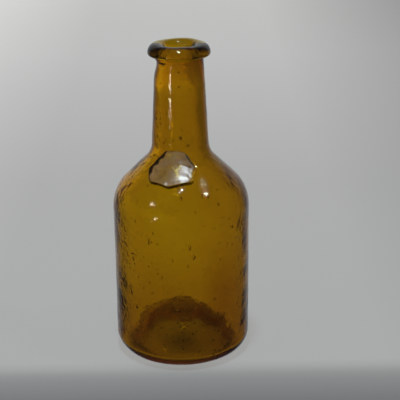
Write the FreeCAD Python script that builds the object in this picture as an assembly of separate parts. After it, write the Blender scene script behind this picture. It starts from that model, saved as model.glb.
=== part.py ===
"""Antique mouth-blown bottle with an applied lip and an applied shoulder seal.

Four pieces of glass, fused face to face:
  glass_body     the blown vessel: kicked-up base, cylinder, sloping shoulder and neck
  lip_ring       the collar of glass laid on the neck's cut end and tooled round
  shoulder_seal  the blank pad of glass pressed onto the shoulder
  pontil_scar    the ring of glass that the pontil rod left under the kick-up

Millimetres. +Z is up, the origin is the centre of the resting plane, and the seal faces -Y.
"""
import FreeCAD, Part
import math
import os

from FreeCAD import Vector

# ---- driving dimensions -------------------------------------------------------------------
TOTAL_H = 186.6          # height over the lip
BODY_R = 40.0            # outside radius of the cylinder under the shoulder
FOOT_R = 39.8            # outside radius just above the heel: the cylinder tapers slightly
HEEL_R = 11.5            # rounding of the heel
REST_IN_R = 27.8         # on the resting ring, where the kick-up's outline starts

SHOULDER_Z = 100.4       # height where the cylinder's line and the shoulder's line would meet
SHOULDER_ROUND = 24.0
NECK_FOOT_R = 16.7       # where the shoulder's line and the neck's line would meet
NECK_FOOT_Z = 123.2
NECK_FOOT_ROUND = 13.0
NECK_TOP_R = 13.9        # outside radius of the neck under the lip

BORE_R = 7.8             # the mouth, drawn in by the lip tool and parallel for a cork
BORE_LENGTH = 9.6        # down from the top of the lip, its inner rounding included
BORE_FOOT_ROUND = 6.0    # where the mouth opens into the neck
NECK_IN_TOP_R = 10.8     # inside radius of the neck where it has opened out under the mouth
NECK_IN_TOP_Z = 162.0
NECK_IN_TOP_ROUND = 30.0
NECK_IN_FOOT_R = 13.0    # inside radius where the neck's line would meet the shoulder's inside
WALL = 3.0               # cylinder wall under the shoulder
FOOT_WALL = 4.0          # cylinder wall above the heel
SHOULDER_WALL = 3.3      # measured square to the slope
BASE_WALL = 5.4          # floor round the kick-up
KICK_FLANK_WALL = 4.1
KICK_TOP_WALL = 3.8      # at the axis

KICK_H = 22.0            # height of the kick-up's underside
KICK_TOP_R = 22.5        # where its top and its flank would meet
KICK_TOP_ROUND = 20.0
KICK_FOOT_R = 26.4       # where its flank would meet the resting plane
KICK_FOOT_ROUND = 1.2
KICK_IN_ROUND = 21.5     # rounding of the kick-up's top inside the bottle
INNER_HEEL_ROUND = 3.2
INNER_KICK_FOOT_ROUND = 3.0

LIP_R = 18.0             # outside radius of the lip
LIP_H = 7.4              # from the joint with the neck to the top
LIP_TOP_ROUND = 5.0      # upper outer edge
LIP_FOOT_ROUND = 1.6     # lower outer edge
LIP_MOUTH_ROUND = 4.4    # edge of the mouth
LIP_UNDERCUT = 1.0       # how much the underside rises from the neck to the outer edge

SEAL_THICKNESS = 2.4     # at the middle, over the shoulder
SEAL_PLACE = 0.757       # the seal's middle, as a share of the slope from cylinder to neck
SEAL_CORNER_ROUND = 3.5
SEAL_EDGE_ROUND = 1.0
SEAL_BACK_DEPTH = 12.0   # how deep the pad's blank starts, before the shoulder is taken out of it
# The rim's corners from the seal's middle: to the right, and up the slope.
SEAL_CORNERS = [(13.8, 3.2), (7.4, 11.0), (-5.1, 11.4), (-13.9, 0.8),
                (-12.0, -7.9), (0.5, -11.9), (13.5, -6.6)]

SCAR_OUT_R = 8.2         # pontil scar
SCAR_IN_R = 5.6
SCAR_Z = 20.0            # its lower edge
SCAR_EDGE_ROUND = 0.4

JOINT_Z = TOTAL_H - LIP_H
ORIGIN = Vector(0, 0, 0)
UP = Vector(0, 0, 1)


# ---- outlines -----------------------------------------------------------------------------
def at(r, z):
    """A point of a half section, in the XZ plane."""
    return Vector(r, 0, z)


def rounded(corners):
    """Edges along corners [(point, rounding), ...], open, with an arc at each rounded corner."""
    edges = []
    last = corners[0][0]
    for (before, _), (corner, radius), (after, _) in zip(corners, corners[1:], corners[2:]):
        if radius == 0:
            edges.append(Part.LineSegment(last, corner).toShape())
            last = corner
            continue
        back = (before - corner).normalize()
        onward = (after - corner).normalize()
        half_angle = back.getAngle(onward) / 2
        reach = radius / math.tan(half_angle)
        start = corner + back * reach
        end = corner + onward * reach
        bisector = (back + onward).normalize()
        middle = corner + bisector * (radius / math.sin(half_angle) - radius)
        edges.append(Part.LineSegment(last, start).toShape())
        edges.append(Part.Arc(start, middle, end).toShape())
        last = end
    edges.append(Part.LineSegment(last, corners[-1][0]).toShape())
    return edges


def revolved(edges):
    """The solid that a closed half section sweeps round Z."""
    face = Part.Face(Part.Wire(Part.__sortEdges__(edges)))
    return face.revolve(ORIGIN, UP, 360)


def shoulder_directions():
    """Up the shoulder's slope, and square to it outwards, in the half section."""
    along = (at(NECK_FOOT_R, NECK_FOOT_Z) - at(BODY_R, SHOULDER_Z)).normalize()
    outwards = at(along.z, -along.x)
    return along, outwards


def outer_corners():
    """The outside, from the resting ring to the joint under the lip."""
    return [
        (at(REST_IN_R, 0), 0),
        (at(FOOT_R, 0), HEEL_R),
        (at(BODY_R, SHOULDER_Z), SHOULDER_ROUND),
        (at(NECK_FOOT_R, NECK_FOOT_Z), NECK_FOOT_ROUND),
        (at(NECK_TOP_R, JOINT_Z), 0),
    ]


def inner_corners():
    """The inside, from the joint under the lip down to the top of the kick-up."""
    along, outwards = shoulder_directions()
    on_slope = at(BODY_R, SHOULDER_Z) - outwards * SHOULDER_WALL
    shoulder = on_slope + along * ((BODY_R - WALL - on_slope.x) / along.x)
    neck_foot = on_slope + along * ((NECK_IN_FOOT_R - on_slope.x) / along.x)

    down_flank = at(KICK_FOOT_R - KICK_TOP_R, -KICK_H).normalize()
    into_bottle = at(-down_flank.z, down_flank.x)
    on_flank = at(KICK_TOP_R, KICK_H) + into_bottle * KICK_FLANK_WALL
    top_z = KICK_H + KICK_TOP_WALL
    kick_top = on_flank + down_flank * ((top_z - on_flank.z) / down_flank.z)
    kick_foot = on_flank + down_flank * ((BASE_WALL - on_flank.z) / down_flank.z)
    return [
        (at(NECK_TOP_R, JOINT_Z), 0),
        (at(BORE_R, JOINT_Z), 0),
        (at(BORE_R, TOTAL_H - BORE_LENGTH), BORE_FOOT_ROUND),
        (at(NECK_IN_TOP_R, NECK_IN_TOP_Z), NECK_IN_TOP_ROUND),
        (neck_foot, NECK_FOOT_ROUND + SHOULDER_WALL),
        (shoulder, SHOULDER_ROUND - WALL),
        (at(FOOT_R - FOOT_WALL, BASE_WALL), INNER_HEEL_ROUND),
        (kick_foot, INNER_KICK_FOOT_ROUND),
        (kick_top, KICK_IN_ROUND),
        (at(0, top_z), 0),
    ]


def kick_corners():
    """The underside of the kick-up, from its top to the resting ring."""
    return [
        (at(0, KICK_H), 0),
        (at(KICK_TOP_R, KICK_H), KICK_TOP_ROUND),
        (at(KICK_FOOT_R, 0), KICK_FOOT_ROUND),
        (at(REST_IN_R, 0), 0),
    ]


# ---- pieces -------------------------------------------------------------------------------
def make_glass_body():
    """The blown vessel, one wall from the cut end of the neck to the top of the kick-up."""
    axis = Part.LineSegment(at(0, KICK_H + KICK_TOP_WALL), at(0, KICK_H)).toShape()
    return revolved(rounded(outer_corners()) + rounded(inner_corners())
                    + rounded(kick_corners()) + [axis])


def make_lip_ring():
    """The collar on the neck's end, with the last stretch of the mouth's bore."""
    section = [
        (at(BORE_R, JOINT_Z), 0),
        (at(BORE_R, TOTAL_H), LIP_MOUTH_ROUND),
        (at(LIP_R, TOTAL_H), LIP_TOP_ROUND),
        (at(LIP_R, JOINT_Z + LIP_UNDERCUT), LIP_FOOT_ROUND),
        (at(NECK_TOP_R, JOINT_Z), 0),
        (at(BORE_R, JOINT_Z), 0),
    ]
    return revolved(rounded(section))


def make_filled_outside():
    """The bottle's outside as one solid block, to shape the back of the seal."""
    outline = [(at(0, 0), 0)] + outer_corners()[1:] + [(at(0, JOINT_Z), 0)]
    axis = Part.LineSegment(at(0, JOINT_Z), at(0, 0)).toShape()
    return revolved(rounded(outline) + [axis])


def make_shoulder_seal():
    """A pad with an uneven rim, pressed flat in front, whose back fits the shoulder."""
    along, outwards = shoulder_directions()
    middle = at(BODY_R, SHOULDER_Z) * (1 - SEAL_PLACE) + at(NECK_FOOT_R, NECK_FOOT_Z) * SEAL_PLACE
    centre = Vector(0, -middle.x, middle.z)
    normal = Vector(0, -outwards.x, outwards.z)
    up_slope = Vector(0, -along.x, along.z)
    to_right = Vector(1, 0, 0)

    back = centre - normal * SEAL_BACK_DEPTH
    corners = []
    for right, up in SEAL_CORNERS:
        corners.append((back + to_right * right + up_slope * up, SEAL_CORNER_ROUND))
    start = (corners[0][0] + corners[-1][0]) * 0.5
    rim = Part.Wire(rounded([(start, 0)] + corners + [(start, 0)]))
    pad = Part.Face(rim).extrude(normal * (SEAL_BACK_DEPTH + SEAL_THICKNESS))

    def on_front(edge):
        heights = [(vertex.Point - centre).dot(normal) for vertex in edge.Vertexes]
        return all(abs(height - SEAL_THICKNESS) < 0.001 for height in heights)

    pad = pad.makeFillet(SEAL_EDGE_ROUND, [edge for edge in pad.Edges if on_front(edge)])
    return pad.cut(make_filled_outside()).Solids[0]


def make_pontil_scar():
    """A low ring whose top follows the underside of the kick-up."""
    floor = Part.LineSegment(at(REST_IN_R, 0), at(0, 0)).toShape()
    axis = Part.LineSegment(at(0, 0), at(0, KICK_H)).toShape()
    hollow = revolved(rounded(kick_corners()) + [floor, axis])
    blank_height = KICK_H - SCAR_Z
    outside = Part.makeCylinder(SCAR_OUT_R, blank_height, at(0, SCAR_Z))
    inside = Part.makeCylinder(SCAR_IN_R, blank_height, at(0, SCAR_Z))
    scar = outside.cut(inside).common(hollow).Solids[0]

    def on_lower_face(edge):
        return edge.BoundBox.ZMax < SCAR_Z + 0.001 and edge.Closed

    lower_edges = [edge for edge in scar.Edges if on_lower_face(edge)]
    return scar.makeFillet(SCAR_EDGE_ROUND, lower_edges).Solids[0]


PIECES = {
    "glass_body": make_glass_body,
    "lip_ring": make_lip_ring,
    "shoulder_seal": make_shoulder_seal,
    "pontil_scar": make_pontil_scar,
}

if __name__ == "__main__":
    os.makedirs("parts", exist_ok=True)
    for name, make in PIECES.items():
        solid = make()
        print(f"{name}: valid {solid.isValid()}, volume {solid.Volume:.1f} mm3")
        solid.exportStep(f"parts/{name}.step")
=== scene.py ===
"""Looks of the antique amber glass bottle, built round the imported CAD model.

Metres, in the CAD frame: +Z is up, the bottle stands on z = 0 and its shoulder seal faces -Y.
The four pieces are closed glass meshes with real walls. Where two of them are fused, they
overlap by a fraction of a millimetre, so that light crosses the joint as it does in one glass.
"""

import math
import random

import bmesh
import bpy
import numpy as np
from mathutils import Matrix, Vector, noise


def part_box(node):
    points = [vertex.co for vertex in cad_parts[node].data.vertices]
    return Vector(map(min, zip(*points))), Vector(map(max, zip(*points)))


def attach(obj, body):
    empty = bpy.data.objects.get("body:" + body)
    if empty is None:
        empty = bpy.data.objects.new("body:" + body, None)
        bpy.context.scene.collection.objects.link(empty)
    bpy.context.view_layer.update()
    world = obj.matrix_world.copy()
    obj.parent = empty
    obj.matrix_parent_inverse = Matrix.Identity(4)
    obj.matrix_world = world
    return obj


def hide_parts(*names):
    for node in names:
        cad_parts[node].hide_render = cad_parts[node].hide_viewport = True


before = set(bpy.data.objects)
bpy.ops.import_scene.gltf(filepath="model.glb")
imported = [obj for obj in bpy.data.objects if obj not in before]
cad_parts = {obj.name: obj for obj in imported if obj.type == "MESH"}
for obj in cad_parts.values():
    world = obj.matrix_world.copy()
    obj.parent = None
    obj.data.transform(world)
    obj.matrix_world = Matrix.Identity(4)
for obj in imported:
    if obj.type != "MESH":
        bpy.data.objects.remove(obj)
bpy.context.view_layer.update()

MM = 0.001

# ---- the bottle's measures, in millimetres --------------------------------------------------
# Heights and widths that the frame gives.
JOINT_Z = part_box("glass_body")[1].z / MM
TOP_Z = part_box("lip_ring")[1].z / MM
LIP_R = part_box("lip_ring")[1].x / MM
SCAR_OUT_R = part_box("pontil_scar")[1].x / MM

# Corners of the outlines, as (radius, height, rounding).
SHOULDER = (40.0, 100.4, 24.0)
NECK_FOOT = (16.7, 123.2, 13.0)
NECK_TOP_R = 13.9
BORE_R = 7.8
REST_IN_R = 27.8

UNDERSIDE = [(0.0, 22.0, 0), (22.5, 22.0, 20.0), (26.4, 0.0, 1.2), (REST_IN_R, 0.0, 0)]
OUTSIDE = [(REST_IN_R, 0.0, 0), (39.8, 0.0, 11.5), SHOULDER, NECK_FOOT, (NECK_TOP_R, JOINT_Z, 0)]
CUT_END = [(NECK_TOP_R, JOINT_Z, 0), (BORE_R, JOINT_Z, 0)]
INSIDE = [
    (BORE_R, JOINT_Z, 0), (BORE_R, 177.0, 6.0), (10.8, 162.0, 30.0), (13.0, 122.0, 16.3),
    (37.0, 98.7, 21.0), (35.8, 5.4, 3.2), (29.6, 5.4, 3.0), (26.0, 25.8, 21.5), (0.0, 25.8, 0),
]

LIP_FOOT_ROUND, LIP_TOP_ROUND, MOUTH_ROUND = 1.6, 5.0, 4.4

SEGMENTS = 176           # round the bottle
ROW_STEP = 1.05          # along the body's outline
LIP_STEP = 0.55          # along the lip's
JOINT_OVERLAP = 0.05     # how far the lip is sunk in the neck's end
LEAN = 0.45              # how far the lip stands to the left of the base

# Uneven glass, for waves(): depth, the swells' size, the seed, and how the points are squeezed.
OUTER_SWELL = (0.30, 30.0, 1, (1, 1, 0.7))
OUTER_DIMPLES = (0.12, 9.0, 2)
TOOL_RINGS = (0.05, 5.0, 3, (0.12, 0.12, 1))
INNER_SWELL = (0.95, 27.0, 4, (1, 1, 0.6))
INNER_DIMPLES = (0.42, 11.0, 5)
LIP_LUMPS = (0.30, 13.0, 11)
LIP_CREASES = (0.10, 4.5, 12)
FINE_WAVES = (4.0, 6)    # for bumps(), with a depth that grows on the shoulder
FINE_DEPTH, FINE_DEPTH_SHOULDER = 0.02, 0.05
# Dents that the tools left under the lip: a depth, then what patch() takes.
NECK_DENTS = [(1.3, -92, 175.0, 13.0, 5.0), (0.45, -14, 174.0, 5.0, 0.9),
              (0.35, 2, 176.5, 9.0, 0.9)]
THICK_PATCH = (2.0, 40, 46.0, 11.0, 16.0)    # low on the right, likewise
THICK_BELOW = 1.2        # more wall at the cylinder's foot, where the glass sagged
THICK_RIGHT = 0.7        # more wall on the cylinder's right
THICK_NECK = 0.6         # more wall in the neck's middle
THIN_KICK_UP = 0.7       # less wall at the kick-up's top, which was drawn thin
NECK_CALM = 0.6          # how much the inside's waves lose in the neck
LEFT_CALM = 0.5          # and on the left
UNDERSIDE_SHARE = 0.4    # how much of them shows under the kick-up

SEED_COUNT = 300
SEED_HEIGHTS = (14.0, 150.0)
SEED_DEPTHS = (1.0, 1.7)
SEED_RADII = (0.24, 0.50)
SEED_STRETCH = (1.0, 2.4)
SEED_FLATNESS = 0.7      # its radius across the wall, as a share of the other
LEVEL_PER_DEPTH = 1.15   # a depth is square to the slope, so it is more when measured level
LARGE_SEEDS, LARGER_BY = 0.2, 1.5                    # their share and their scale
CROWDED_SEEDS, CROWD_AT, CROWD_SPREAD = 0.55, -2.45, 0.75    # a share, and angles in radians

# The shoulder seal. Its own x runs to its right and its y up the slope, from its middle.
SEAL_PLACE = 0.757       # its middle, as a share of the way up the slope
SEAL_THICKNESS = 2.3
SEAL_FACE_ROUND = 52.0   # how the face follows the shoulder round
SEAL_CORNERS = [(13.8, 3.2), (7.4, 11.0), (-5.1, 11.4), (-13.9, 0.8),
                (-12.0, -7.9), (0.5, -11.9), (13.5, -6.6)]
SEAL_CORNER_ROUND = 3.0
SEAL_RADIUS = 13.0       # about: it sets the size of the waves round the rim
SEAL_SUNK = 0.35         # how far its back is sunk in the shoulder's glass
SEAL_COLUMNS = 320
SEAL_FACE_ROWS, SEAL_SIDE_ROWS, SEAL_BACK_ROWS = 48, 12, 16
FACE_SHARE = 0.96        # the face reaches this far out and the side begins
ROW_CROWDING = 0.85      # below 1, the face's rows crowd towards its edge
SEAL_HOLLOW = 0.25       # how far the face's middle is pressed in
SEAL_RIM = 0.22          # how far the rim stands up
SEAL_CURL = 0.5          # how far the upper edge curls up with the neck's foot
FACE_SWELLS, FACE_GRAIN = (0.03, 7.0, 23), (0.012, 1.8, 24)    # for waves()
RIM_SWELLS = (0.35, 6.0, 22)
RIM_CHIPS = (2.2, 21)    # for bumps(): they move the rim in and out, and up and down
CHIP_DEPTH = 0.22
# The crack, whose first point is a burst blister.
SEAL_CRACK = [(4.3, 3.9), (6.5, 3.4), (10.2, 2.5), (13.0, 3.4)]
CRACK_DEPTH, CRACK_WIDTH, CRACK_DARKENING, CRACK_DARKENING_WIDTH = 0.25, 0.35, 0.7, 0.28
BLISTER_HEIGHT, BLISTER_SPREAD = 0.45, 0.5
# Painted shade in the crevice round it: angles in degrees from its right, and widths.
SEAL_CREVICE = [(0, 0.05), (15, 0.15), (25, 0.75), (52, 0.65), (60, 0.0), (108, 0.0),
                (120, 2.0), (172, 2.4), (190, 1.7), (202, 0.3), (215, 0.1), (250, 0.12),
                (275, 0.3), (315, 0.25), (335, 0.05), (360, 0.05)]
CREVICE_DEPTH = 0.5
CREVICE_UNEVEN = (0.6, 1.6, 25)    # for waves()

# The pontil rod's ring.
SCAR_COLUMNS, SCAR_ROWS = 120, 22
SCAR_INSET = 1.3         # from its outer edge to its middle
SCAR_HALF_WIDTH = 1.15
SCAR_DROP = 0.85         # how far it hangs below the kick-up's glass
SCAR_SUNK = 0.3          # how far its top is sunk in it
SCAR_RADIUS = 7.0        # about: it sets the size of the waves round it
# For waves(): its width, its drop and its distance from the axis, which is a share.
SCAR_WIDTHS, SCAR_DROPS, SCAR_WANDER = (0.5, 3.0, 31), (0.7, 2.5, 32), (0.012, 1.5, 33)

random.seed(7)


# ---- camera ---------------------------------------------------------------------------------
CAMERA_AZIMUTH = math.radians(14.0)      # round towards the seal's right
CAMERA_DISTANCE = 0.681                  # level, from the bottle's axis
CAMERA_HEIGHT = 0.3354
CAMERA_PITCH = math.radians(19.64)
CAMERA_YAW = math.radians(0.92)          # turned to the right of the axis
CAMERA_ROLL = math.radians(-0.38)
CAMERA_LENS = 110.3
TO_CAMERA_RIGHT = (math.cos(CAMERA_AZIMUTH), math.sin(CAMERA_AZIMUTH), 0)
AWAY_FROM_CAMERA = (-math.sin(CAMERA_AZIMUTH), math.cos(CAMERA_AZIMUTH), 0)


def make_camera():
    turn = Matrix.Rotation(CAMERA_AZIMUTH, 3, "Z")
    forward = turn @ Vector((math.sin(CAMERA_YAW) * math.cos(CAMERA_PITCH),
                             math.cos(CAMERA_YAW) * math.cos(CAMERA_PITCH),
                             -math.sin(CAMERA_PITCH)))
    level_right = forward.cross(Vector((0, 0, 1))).normalized()
    level_up = level_right.cross(forward)
    right = level_right * math.cos(CAMERA_ROLL) + level_up * math.sin(CAMERA_ROLL)
    up = right.cross(forward)
    data = bpy.data.cameras.new("camera")
    data.lens = CAMERA_LENS
    data.sensor_width = 36.0
    data.clip_start = 0.05
    data.clip_end = 20.0
    camera = bpy.data.objects.new("camera", data)
    bpy.context.scene.collection.objects.link(camera)
    axes = Matrix((right, up, -forward)).transposed().to_4x4()
    place = turn @ Vector((0, -CAMERA_DISTANCE, CAMERA_HEIGHT))
    camera.matrix_world = Matrix.Translation(place) @ axes
    bpy.context.scene.camera = camera


# ---- outlines -------------------------------------------------------------------------------
def rounded(corners, step=ROW_STEP):
    """Points, about a step apart, along corners (x, y, rounding), with an arc at each rounding."""
    # A run is a straight (start, end) or an arc (start, end, centre, radius).
    runs = []
    last = Vector(corners[0][:2])
    for before, corner, after in zip(corners, corners[1:], corners[2:]):
        middle, radius = Vector(corner[:2]), corner[2]
        back = (Vector(before[:2]) - middle).normalized()
        onward = (Vector(after[:2]) - middle).normalized()
        if radius == 0:
            runs.append((last, middle))
            last = middle
            continue
        half_angle = back.angle(onward) / 2
        reach = radius / math.tan(half_angle)
        start, end = middle + back * reach, middle + onward * reach
        centre = middle + (back + onward).normalized() * (radius / math.sin(half_angle))
        runs.append((last, start))
        runs.append((start, end, centre, radius))
        last = end
    runs.append((last, Vector(corners[-1][:2])))

    points = []
    for run in runs:
        start, end = run[:2]
        if len(run) == 2:
            count = max(1, round((end - start).length / step))
            points += [start.lerp(end, i / count) for i in range(count)]
            continue
        centre, radius = run[2:]
        from_centre, turn = start - centre, (start - centre).angle_signed(end - centre)
        count = max(4, round(abs(turn) * radius / step))
        for i in range(count):
            points.append(centre + Matrix.Rotation(-turn * i / count, 2) @ from_centre)
    points.append(runs[-1][1])
    kept = [points[0]]
    for point in points[1:]:
        if (point - kept[-1]).length > step * 0.05:
            kept.append(point)
    return np.array([tuple(p) for p in kept])


def outline_normals(points):
    """Unit normals to an outline's points, to the right of its direction."""
    along = np.gradient(points, axis=0)
    along /= np.linalg.norm(along, axis=1)[:, None]
    return np.stack([along[:, 1], -along[:, 0]], axis=1)


def spun(points, angles):
    """The points of a half section (r, z) turned to each angle, as rows x angles x 3."""
    r, z = points[..., 0], points[..., 1]
    if points.ndim == 2:
        r, z = r[:, None], z[:, None]
    return np.stack([r * np.cos(angles), r * np.sin(angles), z + 0 * angles], axis=-1)


def ring_of(columns):
    """Angles round a circle, each once."""
    return np.linspace(0, 2 * math.pi, columns, endpoint=False)


def unit_circle(angles):
    return np.stack([np.cos(angles), np.sin(angles), 0 * angles], axis=1)


def bumps(points, size, seed):
    """Smooth noise, about -0.6 to 0.6, at points in millimetres, with swells of that size."""
    shift = Vector((seed * 17.31, seed * 5.73, seed * 11.97))
    flat = points.reshape(-1, 3) / size
    values = [noise.noise(Vector(p) + shift) for p in flat.tolist()]
    return np.array(values).reshape(points.shape[:-1])


def waves(points, depth, size, seed, squeeze=(1, 1, 1)):
    """Bumps of a depth; an axis that is squeezed below 1 has longer swells."""
    return depth * bumps(points * squeeze, size, seed)


def smooth_step(x, low, high):
    """0 below low, 1 above high, and smooth between them."""
    t = np.clip((x - low) / (high - low), 0, 1)
    return t * t * (3 - 2 * t)


def fade_out(x, low, high):
    """1 below low, 0 above high, and smooth between them."""
    return smooth_step(high - x, 0.0, high - low)


# ---- meshes ---------------------------------------------------------------------------------
def settle(points):
    """The small lean of a hand-made bottle from the shoulder up, the same for every piece."""
    lean = LEAN * smooth_step(points[..., 2], 95.0, 185.0)
    moved = points.copy()
    moved[..., :2] -= lean[..., None] * np.array(TO_CAMERA_RIGHT[:2])
    return moved


def add_piece(name, node, vertices, faces, material):
    """A closed mesh from points in millimetres, riding on the bottle and standing for its node."""
    mesh = bpy.data.meshes.new(name)
    mesh.from_pydata((settle(np.asarray(vertices)) * MM).tolist(), [], faces)
    mesh.polygons.foreach_set("use_smooth", [True] * len(mesh.polygons))
    mesh.validate()
    mesh.materials.append(material)
    piece = bpy.data.objects.new(name, mesh)
    bpy.context.scene.collection.objects.link(piece)
    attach(piece, "root")
    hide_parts(node)
    return piece


def lathe_faces(rows, columns, first, closed_rows=False, poles=False):
    """Quads over a grid that closes round its columns, and round its rows or at two poles.

    The grid's vertices start at index first, row by row, and the two poles come after them."""
    faces = []
    last_row = rows if closed_rows else rows - 1
    for i in range(last_row):
        below, above = first + i * columns, first + (i + 1) % rows * columns
        for j in range(columns):
            k = (j + 1) % columns
            faces.append((below + j, below + k, above + k, above + j))
    if poles:
        start, end = first + rows * columns, first + rows * columns + 1
        top = first + (rows - 1) * columns
        for j in range(columns):
            k = (j + 1) % columns
            faces.append((start, first + k, first + j))
            faces.append((end, top + j, top + k))
    return faces


def outer_radius_table():
    """The outside's outline above the heel's rounding, as heights and radii."""
    outline = rounded(OUTSIDE, 0.5)
    above = outline[outline[:, 1] > 12.0]
    return above[:, 1], above[:, 0]


OUTER_Z, OUTER_R = outer_radius_table()


def wall_outline():
    """The wall's half section, from the axis under the kick-up to the axis inside, and its tags."""
    stretches = [("underside", UNDERSIDE), ("outside", OUTSIDE), ("cut", CUT_END),
                 ("inside", INSIDE)]
    outline, tags = [], []
    for tag, corners in stretches:
        points = rounded(corners)
        outline.append(points[:-1] if tag != "inside" else points)
        tags += [tag] * len(outline[-1])
    return np.concatenate(outline), np.array(tags)


def patch(points, side, height, width, tall):
    """A soft round weight, 1 in the middle, for a patch of wall on one side of the bottle.

    The side is in degrees, from the camera's side round to its right."""
    azimuth = np.arctan2(points[..., 0], -points[..., 1]) - CAMERA_AZIMUTH
    across = (azimuth - math.radians(side) + math.pi) % (2 * math.pi) - math.pi
    around = across * np.hypot(points[..., 0], points[..., 1])
    return np.exp(-(around / width) ** 2 - ((points[..., 2] - height) / tall) ** 2)


def outer_shift(points):
    """How far the outside stands out from its outline: waves, tooling rings and dents."""
    height = points[..., 2]
    on_shoulder = smooth_step(height, 70.0, 100.0) * fade_out(height, 118.0, 128.0)
    on_neck = smooth_step(height, 105.0, 130.0)
    shift = waves(points, *OUTER_SWELL) + waves(points, *OUTER_DIMPLES)
    shift += (FINE_DEPTH + FINE_DEPTH_SHOULDER * on_shoulder) * bumps(points, *FINE_WAVES)
    shift += waves(points, *TOOL_RINGS) * on_neck
    for depth, *place in NECK_DENTS:
        shift -= depth * patch(points, *place)
    return shift


def inner_shift(points):
    """How far the inside stands in from its outline: waves, calmer in the neck and on the left,
    and the places where the wall is thicker."""
    height = points[..., 2]
    from_axis = np.hypot(points[..., 0], points[..., 1])
    to_right = points @ np.array(TO_CAMERA_RIGHT)
    calm = 1 - NECK_CALM * smooth_step(height, 105.0, 135.0)
    uneven = 1 - LEFT_CALM + LEFT_CALM * smooth_step(to_right, -20.0, 25.0)
    shift = (waves(points, *INNER_SWELL) + waves(points, *INNER_DIMPLES)) * calm * uneven
    shift += THICK_PATCH[0] * patch(points, *THICK_PATCH[1:])
    shift += THICK_BELOW * fade_out(height, 15.0, 55.0) * smooth_step(from_axis, 24.0, 34.0)
    shift += THICK_RIGHT * smooth_step(to_right, 5.0, 34.0) * fade_out(height, 104.0, 118.0)
    shift += THICK_NECK * smooth_step(height, 114.0, 126.0) * fade_out(height, 148.0, 166.0)
    return shift


def make_body_surface():
    """The wall's points, as rows x angles x 3, with its waves."""
    outline, tags = wall_outline()
    angles = ring_of(SEGMENTS)
    points = spun(outline, angles)
    normal = spun(outline_normals(outline), angles)
    height = points[..., 2]
    from_axis = np.hypot(points[..., 0], points[..., 1])

    outer, inner = outer_shift(points), inner_shift(points)
    thinned = THIN_KICK_UP * fade_out(from_axis, 18.0, 26.0) * fade_out(height, 34.0, 42.0)
    shift = np.zeros_like(height)
    shift[tags == "outside"] = outer[tags == "outside"]
    shift[tags == "underside"] = UNDERSIDE_SHARE * inner[tags == "underside"]
    shift[tags == "inside"] = (inner - thinned)[tags == "inside"]
    # Nothing moves at the joint under the lip, on the resting ring, or at the axis.
    still = smooth_step(np.abs(height - JOINT_Z), 0.5, 2.5)
    still *= smooth_step(np.hypot(from_axis - (REST_IN_R + 0.1), height), 3.0, 9.0)
    still *= smooth_step(from_axis, 0.0, 4.0)
    return points + normal * (shift * still)[..., None]


def make_seeds():
    """Gas bubbles in the wall: small inward-facing shells, drawn out upwards."""
    ball = bmesh.new()
    bmesh.ops.create_icosphere(ball, subdivisions=2, radius=1.0)
    ball.verts.index_update()
    unit = np.array([v.co[:] for v in ball.verts])
    unit_faces = [[v.index for v in f.verts][::-1] for f in ball.faces]
    ball.free()
    shells = []
    for _ in range(SEED_COUNT):
        z = random.uniform(*SEED_HEIGHTS)
        # More of them lie on the left of the seal than elsewhere.
        if random.random() < CROWDED_SEEDS:
            angle = random.gauss(CROWD_AT, CROWD_SPREAD)
        else:
            angle = random.uniform(0, 2 * math.pi)
        size = random.uniform(*SEED_RADII) * (LARGER_BY if random.random() < LARGE_SEEDS else 1.0)
        depth = random.uniform(*SEED_DEPTHS)
        r = np.interp(z, OUTER_Z, OUTER_R) - depth * LEVEL_PER_DEPTH
        slope = np.interp(z + 1, OUTER_Z, OUTER_R) - np.interp(z - 1, OUTER_Z, OUTER_R)
        long_axis = np.array([slope / 2, 0, 1.0])
        long_axis /= np.linalg.norm(long_axis)
        across = np.array([long_axis[2], 0, -long_axis[0]])
        side = np.array([0, 1.0, 0])
        stretch = random.uniform(*SEED_STRETCH)
        local = (unit[:, :1] * across * size * SEED_FLATNESS + unit[:, 1:2] * side * size
                 + unit[:, 2:] * long_axis * size * stretch)
        local[:, 0] += r
        local[:, 2] += z
        cos, sin = math.cos(angle), math.sin(angle)
        turned = np.stack([local[:, 0] * cos - local[:, 1] * sin,
                           local[:, 0] * sin + local[:, 1] * cos, local[:, 2]], axis=1)
        shells.append(turned)
    return shells, unit_faces


def make_glass_body(material):
    """The blown vessel, in one mesh with the shells of its seeds."""
    grid = make_body_surface()
    # The first and last rows lie on the axis: each becomes one vertex.
    wall = grid[1:-1]
    vertices = [wall.reshape(-1, 3), grid[0, :1], grid[-1, :1]]
    faces = lathe_faces(len(wall), SEGMENTS, 0, poles=True)
    count = len(wall) * SEGMENTS + 2
    shells, unit_faces = make_seeds()
    for shell in shells:
        faces += [tuple(i + count for i in face) for face in unit_faces]
        vertices.append(shell)
        count += len(shell)
    add_piece("bottle_body", "glass_body", np.concatenate(vertices), faces,
              material)


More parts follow.
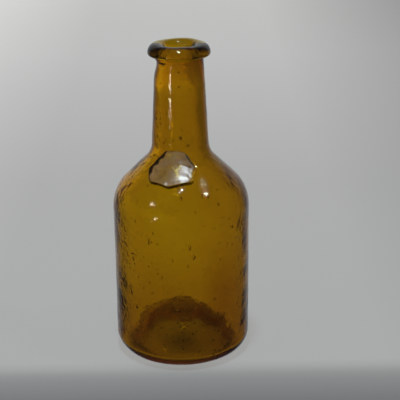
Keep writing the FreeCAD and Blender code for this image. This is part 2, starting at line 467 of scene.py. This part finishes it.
def make_lip(material):
    """The tooled collar: a closed ring, a little uneven, with its foot sunk in the neck's end."""
    foot = JOINT_Z - JOINT_OVERLAP
    section = [
        (BORE_R, foot, 0), (NECK_TOP_R, foot, 0), (LIP_R, JOINT_Z + 1.0, LIP_FOOT_ROUND),
        (LIP_R, TOP_Z, LIP_TOP_ROUND), (BORE_R, TOP_Z, MOUTH_ROUND), (BORE_R, foot, 0),
    ]
    outline = rounded(section, LIP_STEP)[:-1]
    normals = outline_normals(np.concatenate([outline[-1:], outline, outline[:1]]))[1:-1]
    angles = ring_of(SEGMENTS)
    points, normal = spun(outline, angles), spun(normals, angles)
    lumps = waves(points, *LIP_LUMPS) + waves(points, *LIP_CREASES)
    free = smooth_step(points[..., 2], JOINT_Z + 0.3, JOINT_Z + 2.5)
    points = points + normal * (lumps * free)[..., None]
    faces = lathe_faces(len(outline), SEGMENTS, 0, closed_rows=True)
    add_piece("applied_lip", "lip_ring", points.reshape(-1, 3), faces, material)


# ---- the shoulder seal ----------------------------------------------------------------------
def seal_frame():
    """The seal's middle on the shoulder's line and its axes: right, up the slope, outwards."""
    low = Vector((0, -SHOULDER[0], SHOULDER[1]))
    high = Vector((0, -NECK_FOOT[0], NECK_FOOT[1]))
    middle = low.lerp(high, SEAL_PLACE)
    up = (high - low).normalized()
    right = Vector((1, 0, 0))
    return np.array(middle), np.array(right), np.array(up), np.array(right.cross(up))


def depth_to_shoulder(points, direction):
    """How far points, in mm, are from the outside along a direction, by halving."""
    near, far = np.full(len(points), -9.0), np.full(len(points), 9.0)    # more than is needed
    for _ in range(30):
        mid = (near + far) / 2
        q = points + mid[:, None] * direction
        inside = np.hypot(q[:, 0], q[:, 1]) < np.interp(q[:, 2], OUTER_Z, OUTER_R)
        far = np.where(inside, mid, far)
        near = np.where(inside, near, mid)
    return (near + far) / 2


def seal_reach(angles):
    """How far the seal's rim is from its middle, at each angle."""
    corners = [(x, y, SEAL_CORNER_ROUND) for x, y in SEAL_CORNERS]
    start = ((corners[0][0] + corners[-1][0]) / 2, (corners[0][1] + corners[-1][1]) / 2, 0)
    rim = rounded([start] + corners + [start], 0.2)[:-1]
    rim_angle = np.unwrap(np.arctan2(rim[:, 1], rim[:, 0]))
    wrapped = (angles - rim_angle[0]) % (2 * math.pi) + rim_angle[0]
    return np.interp(wrapped, rim_angle, np.hypot(rim[:, 0], rim[:, 1]))


def distance_to_line(x, y, corners):
    """How far points are from a broken line through corners."""
    best = np.full(np.shape(x), np.inf)
    for (ax, ay), (bx, by) in zip(corners, corners[1:]):
        dx, dy = bx - ax, by - ay
        share = np.clip(((x - ax) * dx + (y - ay) * dy) / (dx * dx + dy * dy), 0, 1)
        best = np.minimum(best, np.hypot(x - ax - share * dx, y - ay - share * dy))
    return best


def seal_face_height(x, y, share, chips):
    """The pressed face: curved with the shoulder, a little hollow, with a rim, a crack and a
    blister. The share is how far out a point is, from 0 in the middle to 1 at the rim."""
    flat = np.stack([x, y, 0 * x], axis=1)
    height = SEAL_THICKNESS - x ** 2 / (2 * SEAL_FACE_ROUND) - SEAL_HOLLOW * (1 - share ** 2)
    height += waves(flat, *FACE_SWELLS) + waves(flat, *FACE_GRAIN)
    height += SEAL_RIM * smooth_step(share, 0.70, 0.88) * (1 + chips)
    height += SEAL_CURL * smooth_step(y, 4.0, 11.0)
    height -= CRACK_DEPTH * np.exp(-(distance_to_line(x, y, SEAL_CRACK) / CRACK_WIDTH) ** 2)
    blister = (x - SEAL_CRACK[0][0]) ** 2 + (y - SEAL_CRACK[0][1]) ** 2
    height += BLISTER_HEIGHT * np.exp(-blister / BLISTER_SPREAD)
    return height


def make_seal(material):
    """A pad pressed against the shoulder, chipped round its edge; its back is sunk in the glass."""
    middle, right, up, out = seal_frame()
    angles = ring_of(SEAL_COLUMNS)
    ring = unit_circle(angles)
    rim = ring * SEAL_RADIUS
    chips = bumps(rim, *RIM_CHIPS)
    reach = seal_reach(angles) + waves(rim, *RIM_SWELLS) + CHIP_DEPTH * chips
    # Painted shade lies in the crevice round the pad, thick on the upper left and thin on the
    # right.
    crevice = np.interp(np.degrees(angles), *zip(*SEAL_CREVICE)) * (1 + waves(rim, *CREVICE_UNEVEN))

    points, shade_and_crack_dark = [], []

    def add_row(x, y, height, darkening):
        points.append(middle + x[:, None] * right + y[:, None] * up + height[:, None] * out)
        shade_and_crack_dark.append(darkening)

    def to_glass(x, y):
        flat = middle + x[:, None] * right + y[:, None] * up
        return -depth_to_shoulder(flat, -out) - SEAL_SUNK

    for i in range(1, SEAL_FACE_ROWS + 1):
        share = (i / SEAL_FACE_ROWS) ** ROW_CROWDING * FACE_SHARE
        x, y = share * reach * ring[:, 0], share * reach * ring[:, 1]
        edge = smooth_step((share - FACE_SHARE) * reach + crevice, -0.25, 0.25)
        from_crack = distance_to_line(x, y, SEAL_CRACK[1:])
        # Darker along the crack.
        crack = CRACK_DARKENING * np.exp(-(from_crack / CRACK_DARKENING_WIDTH) ** 2)
        height = seal_face_height(x, y, share, chips) - CREVICE_DEPTH * edge
        add_row(x, y, height, np.maximum(edge * (crevice > 0.05), crack))
    top = height
    for i in range(1, SEAL_SIDE_ROWS + 1):
        # The side swells out to the rim, and draws in a little at its foot.
        t = i / SEAL_SIDE_ROWS
        swelling = math.sin(min(t * 2.2, 1) * math.pi / 2)
        bulge = FACE_SHARE + (1 - FACE_SHARE) * swelling - 0.02 * smooth_step(t, 0.6, 1)
        x, y = bulge * reach * ring[:, 0], bulge * reach * ring[:, 1]
        # The side is painted dark where the crevice is: painted shade.
        add_row(x, y, top * (1 - t) + to_glass(x, y) * t, smooth_step(crevice, 0.0, 0.3))
    for i in range(1, SEAL_BACK_ROWS + 1):
        share = 1 - i / (SEAL_BACK_ROWS + 1)
        add_row(share * x, share * y, to_glass(share * x, share * y), 0 * x)

    centre = np.zeros(1)
    face_height = seal_face_height(centre, centre, centre, centre)
    poles = [middle + face_height[0] * out, middle + to_glass(centre, centre)[0] * out]
    faces = [face[::-1] for face in lathe_faces(len(points), SEAL_COLUMNS, 0, poles=True)]
    vertices = np.concatenate([np.array(points).reshape(-1, 3), np.array(poles)])
    pad = add_piece("shoulder_seal_pad", "shoulder_seal", vertices, faces, material)
    shade_and_crack_layer = pad.data.attributes.new("shade_and_crack_dark", "FLOAT", "POINT")
    shade_and_crack_layer.data.foreach_set("value", np.concatenate(shade_and_crack_dark + [np.zeros(len(poles))]))


def make_scar(material):
    """The pontil rod's ring: low, broken and uneven, its top sunk in the kick-up's glass."""
    underside = rounded(UNDERSIDE, 0.4)
    ring = unit_circle(ring_of(SCAR_COLUMNS))
    width = SCAR_HALF_WIDTH + waves(ring * SCAR_RADIUS, *SCAR_WIDTHS)
    drop = SCAR_DROP + waves(ring * SCAR_RADIUS, *SCAR_DROPS)
    grid = []
    for a in (2 * math.pi * i / SCAR_ROWS for i in range(SCAR_ROWS)):
        r = SCAR_OUT_R - SCAR_INSET + width * math.cos(a)
        roof = np.interp(r, underside[:, 0], underside[:, 1])
        z = roof + (drop if math.sin(a) < 0 else SCAR_SUNK) * math.sin(a)
        grid.append(np.stack([r * ring[:, 0], r * ring[:, 1], z], axis=1))
    grid = np.array(grid)
    grid[..., :2] *= (1 + waves(grid, *SCAR_WANDER))[..., None]
    faces = lathe_faces(SCAR_ROWS, SCAR_COLUMNS, 0, closed_rows=True)
    add_piece("pontil_ring", "pontil_scar", grid.reshape(-1, 3), faces, material)


# ---- materials ------------------------------------------------------------------------------
GLASS_IOR = 1.52
# What absorbs light inside the glass: a colour, and a density per metre.
AMBER = ((0.9467, 0.9093, 0.0, 1.0), 1500.0)
LIP_AMBER = ((0.970, 0.955, 0.0, 1.0), 1400.0)
SEAL_AMBER = (AMBER[0], 600.0)
GLASS_TINT = (0.98, 0.85, 0.90, 1)
SPECK = (0.03, 0.02, 0.01, 1)
# Painted shade on the mouth's rounded inner edge.
MOUTH_PAINTED_SHADE = (0.44, 0.24, 0.18, 1.0)
PRESSED_FACE = (0.86, 0.88, 0.84, 1)
SEAL_SIDE = (0.9, 0.87, 0.82, 1)
# Painted shade round the seal's steep edge, and the crack's darker line.
SHADE_AND_CRACK_DARK = (0.015, 0.012, 0.01, 1)

SPECK_SPACING = 0.0048
# For range_node(): how noise gathers the specks in crowds, and a speck's edge.
SPECK_CROWDS = (0.35, 0.65, 0.09, -0.065)
SPECK_EDGE = (0.02, 0.07, 0.0, 1.0)
# Roughness where the glass is least and most worn.
BODY_WEAR, LIP_WEAR, SEAL_WEAR, SCAR_WEAR = (0.0, 0.06), (0.0, 0.08), (0.10, 0.20), (0.25, 0.45)
DULL_WEAR = (0.28, 0.45)
FACE_WEAR, SEAL_SIDE_ROUGHNESS = (0.16, 0.26), 0.12
FACE_HAZE = (0.98, 0.90)                 # its transmission, thinly and thickly hazed
# Noises: their scale and detail, and the range in which wear, dullness and haze grow.
CROWD_NOISE, WEAR_NOISE, RIPPLE_DETAIL = (28.0, 1.0), (60.0, 6.0), 3.0
DULL_NOISE, HAZE_NOISE, FACE_NOISE = (150.0, 4.0), (170.0, 5.0), (90.0, 4.0)
WEAR_RANGE, MIDDLE_RANGE = (0.45, 0.75), (0.3, 0.7)
# Where the seal's face begins and where it is full, by how its normal turns from the middle's.
FACE_RANGE = (0.75, 0.95)
# Ripples too fine for the mesh: their size and depth.
BODY_RIPPLE, LIP_RIPPLE = (0.0030, 0.00016), (0.004, 0.00004)
SEAL_RIPPLE, SCAR_RIPPLE = (0.0016, 0.00006), (0.0010, 0.00015)
# The kick-up's hollow is inside an egg round the frame's origin: its edge and its squeeze.
UNDER_EDGE, UNDER_SQUEEZE = (0.0276, 0.0345), (1, 1, 1.17)
# The painted shade covers the lip nearer to the axis than one edge and above another.
MOUTH_SHADE_RADII, MOUTH_SHADE_HEIGHTS = (0.0105, 0.0130), (0.1812, 0.1826)


def noise_node(tree, coordinates, scale, detail):
    node = tree.nodes.new("ShaderNodeTexNoise")
    node.inputs["Scale"].default_value = scale
    node.inputs["Detail"].default_value = detail
    tree.links.new(coordinates, node.inputs["Vector"])
    return node.outputs["Fac"]


def range_node(tree, value, low, high, to_low, to_high):
    node = tree.nodes.new("ShaderNodeMapRange")
    names = ("From Min", "From Max", "To Min", "To Max")
    for name, number in zip(names, (low, high, to_low, to_high)):
        node.inputs[name].default_value = number
    tree.links.new(value, node.inputs["Value"])
    return node.outputs["Result"]


def math_node(tree, operation, first, second):
    node = tree.nodes.new("ShaderNodeMath")
    node.operation = operation
    tree.links.new(first, node.inputs[0])
    tree.links.new(second, node.inputs[1])
    return node.outputs[0]


def vector_node(tree, operation, vector, fixed=None):
    """A vector joined with a fixed one where the operation takes two."""
    node = tree.nodes.new("ShaderNodeVectorMath")
    node.operation = operation
    tree.links.new(vector, node.inputs[0])
    if fixed is not None:
        node.inputs[1].default_value = fixed
    return next(output for output in node.outputs if output.enabled)


def mix_node(tree, kind, factor, low, high):
    """Low where the factor is 0 and high where it is 1; each may be a value or a socket."""
    node = tree.nodes.new("ShaderNodeMix")
    node.data_type = kind
    names = ("Factor", "A", "B")
    sockets = [next(s for s in node.inputs if s.name == name and s.enabled) for name in names]
    for socket, value in zip(sockets, (factor, low, high)):
        if isinstance(value, bpy.types.NodeSocket):
            tree.links.new(value, socket)
        else:
            socket.default_value = value
    return next(output for output in node.outputs if output.enabled)


def new_material(name):
    """A material, its nodes and its shader."""
    material = bpy.data.materials.new(name)
    material.use_nodes = True
    tree = material.node_tree
    return material, tree, tree.nodes["Principled BSDF"]


def glass_material(name, amber, wear, ripple):
    """Clear glass that gets its colour inside: worn, faintly rippled, with specks and pits.

    It returns the material, its nodes, its shader and its coordinates in the bottle's frame."""
    material, tree, shader = new_material(name)
    coordinates = tree.nodes.new("ShaderNodeTexCoord").outputs["Object"]
    shader.inputs["Transmission Weight"].default_value = 1.0
    shader.inputs["IOR"].default_value = GLASS_IOR
    stones = tree.nodes.new("ShaderNodeTexVoronoi")
    stones.inputs["Scale"].default_value = 1 / SPECK_SPACING
    tree.links.new(coordinates, stones.inputs["Vector"])
    crowd = range_node(tree, noise_node(tree, coordinates, *CROWD_NOISE), *SPECK_CROWDS)
    reach = math_node(tree, "ADD", stones.outputs["Distance"], crowd)
    clear = range_node(tree, reach, *SPECK_EDGE)
    tree.links.new(mix_node(tree, "RGBA", clear, SPECK, GLASS_TINT), shader.inputs["Base Color"])
    rough = range_node(tree, noise_node(tree, coordinates, *WEAR_NOISE), *WEAR_RANGE, *wear)
    tree.links.new(rough, shader.inputs["Roughness"])
    ripple_size, ripple_depth = ripple
    bump = tree.nodes.new("ShaderNodeBump")
    bump.inputs["Strength"].default_value = 1.0
    bump.inputs["Distance"].default_value = ripple_depth
    rippled = noise_node(tree, coordinates, 1 / ripple_size, RIPPLE_DETAIL)
    tree.links.new(math_node(tree, "ADD", rippled, clear), bump.inputs["Height"])
    tree.links.new(bump.outputs["Normal"], shader.inputs["Normal"])
    absorb = tree.nodes.new("ShaderNodeVolumeAbsorption")
    colour, density = amber
    absorb.inputs["Color"].default_value = colour
    absorb.inputs["Density"].default_value = density
    tree.links.new(absorb.outputs["Volume"], tree.nodes["Material Output"].inputs["Volume"])
    return material, tree, shader, coordinates


def body_glass():
    """The blown glass: bright all over, but dull under the kick-up, where it was never polished."""
    material, tree, shader, coordinates = glass_material(
        "amber_glass", AMBER, BODY_WEAR, BODY_RIPPLE)
    squeezed = vector_node(tree, "MULTIPLY", coordinates, UNDER_SQUEEZE)
    under = range_node(tree, vector_node(tree, "LENGTH", squeezed), *UNDER_EDGE, 1.0, 0.0)
    worn = shader.inputs["Roughness"].links[0].from_socket
    dull = range_node(tree, noise_node(tree, coordinates, *DULL_NOISE), *MIDDLE_RANGE, *DULL_WEAR)
    tree.links.new(mix_node(tree, "FLOAT", under, worn, dull), shader.inputs["Roughness"])
    return material


def lip_glass():
    """The lip's glass, with the rounded edge of its mouth painted brown as painted shade, which
    darkens the mouth.
    """
    material, tree, shader, coordinates = glass_material(
        "lip_glass", LIP_AMBER, LIP_WEAR, LIP_RIPPLE)
    level = vector_node(tree, "MULTIPLY", coordinates, (1, 1, 0))
    split = tree.nodes.new("ShaderNodeSeparateXYZ")
    tree.links.new(coordinates, split.inputs[0])
    inner = range_node(tree, vector_node(tree, "LENGTH", level), *MOUTH_SHADE_RADII, 1.0, 0.0)
    upper = range_node(tree, split.outputs["Z"], *MOUTH_SHADE_HEIGHTS, 0.0, 1.0)
    # The mouth's painted shade: brown on its rounded inner edge.
    mouth_shade = mix_node(tree, "FLOAT", upper, 0.0, inner)
    unshaded = shader.inputs["Base Color"].links[0].from_socket
    tree.links.new(mix_node(tree, "RGBA", mouth_shade, unshaded, MOUTH_PAINTED_SHADE), shader.inputs["Base Color"])
    return material


def seal_glass():
    """The seal's glass: its pressed face is hazed grey, painted shade sits round its steep edge,
    and the crack is darker.
    """
    material, tree, shader, coordinates = glass_material(
        "seal_glass", SEAL_AMBER, SEAL_WEAR, SEAL_RIPPLE)
    surface_normal = tree.nodes["Texture Coordinate"].outputs["Normal"]
    outwards = tuple(seal_frame()[3])
    facing = vector_node(tree, "DOT_PRODUCT", surface_normal, outwards)
    face = range_node(tree, facing, *FACE_RANGE, 0.0, 1.0)
    haze = range_node(tree, noise_node(tree, coordinates, *HAZE_NOISE), *MIDDLE_RANGE, *FACE_HAZE)
    tree.links.new(mix_node(tree, "FLOAT", face, 1.0, haze), shader.inputs["Transmission Weight"])
    # The painted shade round the edge and the crack's darker line, carried on the mesh.
    shade_and_crack_dark = tree.nodes.new("ShaderNodeAttribute")
    shade_and_crack_dark.attribute_name = "shade_and_crack_dark"
    pressed = mix_node(tree, "RGBA", face, SEAL_SIDE, PRESSED_FACE)
    colour = mix_node(tree, "RGBA", shade_and_crack_dark.outputs["Fac"], pressed, SHADE_AND_CRACK_DARK)
    tree.links.new(colour, shader.inputs["Base Color"])
    rough = range_node(tree, noise_node(tree, coordinates, *FACE_NOISE), *MIDDLE_RANGE, *FACE_WEAR)
    tree.links.new(mix_node(tree, "FLOAT", face, SEAL_SIDE_ROUGHNESS, rough),
                   shader.inputs["Roughness"])
    return material


def scar_glass():
    return glass_material("scar_glass", AMBER, SCAR_WEAR, SCAR_RIPPLE)[0]


# ---- floor, light ---------------------------------------------------------------------------
FLOOR_COLUMNS = 96
FLOOR_COLOUR = (0.14, 0.14, 0.137, 1)
# How much painted light the floor glows with, by how far a place is behind the bottle, in metres.
FLOOR_PAINTED_LIGHT = [(-0.80, 0.36), (-0.50, 0.16), (-0.075, 0.11), (-0.045, 0.19), (-0.03, 0.33),
              (0.30, 0.35), (0.80, 0.46), (1.20, 0.50)]
FLOOR_PAINTED_LIGHT_BLUE = 0.975  # beside red and green
# Factors on that painted light, for range_node(): a painted shadow by the distance from under
# the bottle, and a painted falloff by how far a place is to the right.
FLOOR_PAINTED_SHADOW = (0.006, 0.030, 0.25, 1.0)
FLOOR_PAINTED_FALLOFF = [(-0.35, -0.12, 1.4, 1.0), (-0.85, -0.52, 1.35, 1.0), (0.12, 0.35, 1.0, 0.55)]

SHOULDER_HEIGHT = 0.12   # where the lamps' directions are measured from
LAMP_AIM = (0, 0, 0.1)
# Lamps: azimuth from the camera's side towards its right, elevation, distance in metres, then
# width, height, watts and colour.
LAMPS = {
    "ceiling_lamp": ((-10, 77.4, 1.4), 0.14, 0.14, 10.0, (0.72, 0.86, 1.0)),
    "right_softbox": ((73.0, 56.5, 1.4), 0.05, 0.05, 1.3, (1.0, 0.97, 0.90)),
    "left_softbox": ((-57, 30, 1.6), 0.06, 0.08, 0.8, (1.0, 0.97, 0.92)),
    "neck_card": ((-42, -4, 0.85), 0.07, 0.10, 0.4, (1.0, 0.88, 0.62)),
}
WORLD_COLOUR = (0.9, 0.95, 1.0, 1)
WORLD_AHEAD = (0.55, 0.95, 0.05, 0.45)   # for range_node(): it brightens towards what lies ahead


def floor_mesh():
    """A floor that rises into a low round wall."""
    outline = rounded([(0, 0, 0), (2.4, 0, 0.5), (2.4, 0.9, 0)], 0.06)
    grid = spun(outline, ring_of(FLOOR_COLUMNS))
    vertices = np.concatenate([grid[1:].reshape(-1, 3), grid[0, :1]])
    faces = [face[::-1] for face in lathe_faces(len(outline) - 1, FLOOR_COLUMNS, 0)]
    faces += [(len(vertices) - 1, j, (j + 1) % FLOOR_COLUMNS) for j in range(FLOOR_COLUMNS)]
    mesh = bpy.data.meshes.new("studio_floor")
    mesh.from_pydata(vertices.tolist(), [], faces)
    mesh.polygons.foreach_set("use_smooth", [True] * len(mesh.polygons))
    return mesh


def painted_light_colour(tree, coordinates):
    """The floor's painted light, by how far a place is behind the bottle."""
    first, last = FLOOR_PAINTED_LIGHT[0][0], FLOOR_PAINTED_LIGHT[-1][0]
    depth = vector_node(tree, "DOT_PRODUCT", coordinates, AWAY_FROM_CAMERA)
    ramp = tree.nodes.new("ShaderNodeValToRGB")
    tree.links.new(range_node(tree, depth, first, last, 0, 1), ramp.inputs["Fac"])
    stops = ramp.color_ramp.elements
    for number, (place, glow) in enumerate(FLOOR_PAINTED_LIGHT):
        share = (place - first) / (last - first)
        stop = stops[0] if number == 0 else stops[-1] if share == 1 else stops.new(share)
        stop.color = (glow, glow, FLOOR_PAINTED_LIGHT_BLUE * glow, 1)
    return ramp.outputs["Color"]


def paper_material():
    """Pale paper that glows with painted light, with a painted shadow under the bottle."""
    material, tree, shader = new_material("studio_paper")
    shader.inputs["Base Color"].default_value = FLOOR_COLOUR
    shader.inputs["Roughness"].default_value = 0.9
    shader.inputs["Specular IOR Level"].default_value = 0.1
    coordinates = tree.nodes.new("ShaderNodeTexCoord").outputs["Object"]
    tree.links.new(painted_light_colour(tree, coordinates), shader.inputs["Emission Color"])
    # Painted shadow under the bottle, and painted falloff towards the right.
    strength = range_node(tree, vector_node(tree, "LENGTH", coordinates), *FLOOR_PAINTED_SHADOW)
    across = vector_node(tree, "DOT_PRODUCT", coordinates, TO_CAMERA_RIGHT)
    for limits in FLOOR_PAINTED_FALLOFF:
        strength = math_node(tree, "MULTIPLY", strength, range_node(tree, across, *limits))
    tree.links.new(strength, shader.inputs["Emission Strength"])
    # From below it can be seen through, so that the base can be looked at.
    side = tree.nodes.new("ShaderNodeNewGeometry")
    clear = tree.nodes.new("ShaderNodeBsdfTransparent")
    paper = tree.nodes.new("ShaderNodeMixShader")
    tree.links.new(side.outputs["Backfacing"], paper.inputs["Fac"])
    tree.links.new(shader.outputs["BSDF"], paper.inputs[1])
    tree.links.new(clear.outputs["BSDF"], paper.inputs[2])
    tree.links.new(paper.outputs["Shader"], tree.nodes["Material Output"].inputs["Surface"])
    return material


def make_studio():
    floor = bpy.data.objects.new("studio_floor", floor_mesh())
    bpy.context.scene.collection.objects.link(floor)
    floor.visible_glossy = False
    floor.data.materials.append(paper_material())


def area_light(name, place, target, width, height, watts, colour):
    data = bpy.data.lights.new(name, "AREA")
    data.shape = "RECTANGLE"
    data.size, data.size_y = width, height
    data.energy = watts
    data.color = colour
    light = bpy.data.objects.new(name, data)
    bpy.context.scene.collection.objects.link(light)
    light.location = place
    direction = Vector(target) - Vector(place)
    light.rotation_mode = "QUATERNION"
    light.rotation_quaternion = direction.to_track_quat("-Z", "Y")


def studio_place(azimuth, elevation, distance):
    """A place seen from the shoulder: azimuth from the camera's side towards its right."""
    a = math.radians(azimuth) + CAMERA_AZIMUTH
    e = math.radians(elevation)
    level = distance * math.cos(e)
    return (level * math.sin(a), -level * math.cos(a), SHOULDER_HEIGHT + distance * math.sin(e))


def make_light():
    world = bpy.data.worlds.new("studio")
    bpy.context.scene.world = world
    world.use_nodes = True
    tree = world.node_tree
    direction = tree.nodes.new("ShaderNodeTexCoord").outputs["Generated"]
    ahead = vector_node(tree, "DOT_PRODUCT", direction, AWAY_FROM_CAMERA)
    background = tree.nodes["Background"]
    background.inputs["Color"].default_value = WORLD_COLOUR
    tree.links.new(range_node(tree, ahead, *WORLD_AHEAD), background.inputs["Strength"])
    for name, (seen_at, width, height, watts, colour) in LAMPS.items():
        area_light(name, studio_place(*seen_at), LAMP_AIM, width, height, watts, colour)


def set_light_paths():
    """Enough bounces for light to cross both walls, the lip and the seal."""
    cycles = bpy.context.scene.cycles
    cycles.max_bounces = 32
    cycles.transmission_bounces = 32
    cycles.glossy_bounces = 16
    cycles.diffuse_bounces = 4
    cycles.transparent_max_bounces = 16
    bpy.context.scene.view_settings.view_transform = "Standard"


make_camera()
set_light_paths()
make_glass_body(body_glass())
make_lip(lip_glass())
make_seal(seal_glass())
make_scar(scar_glass())
make_studio()
make_light()
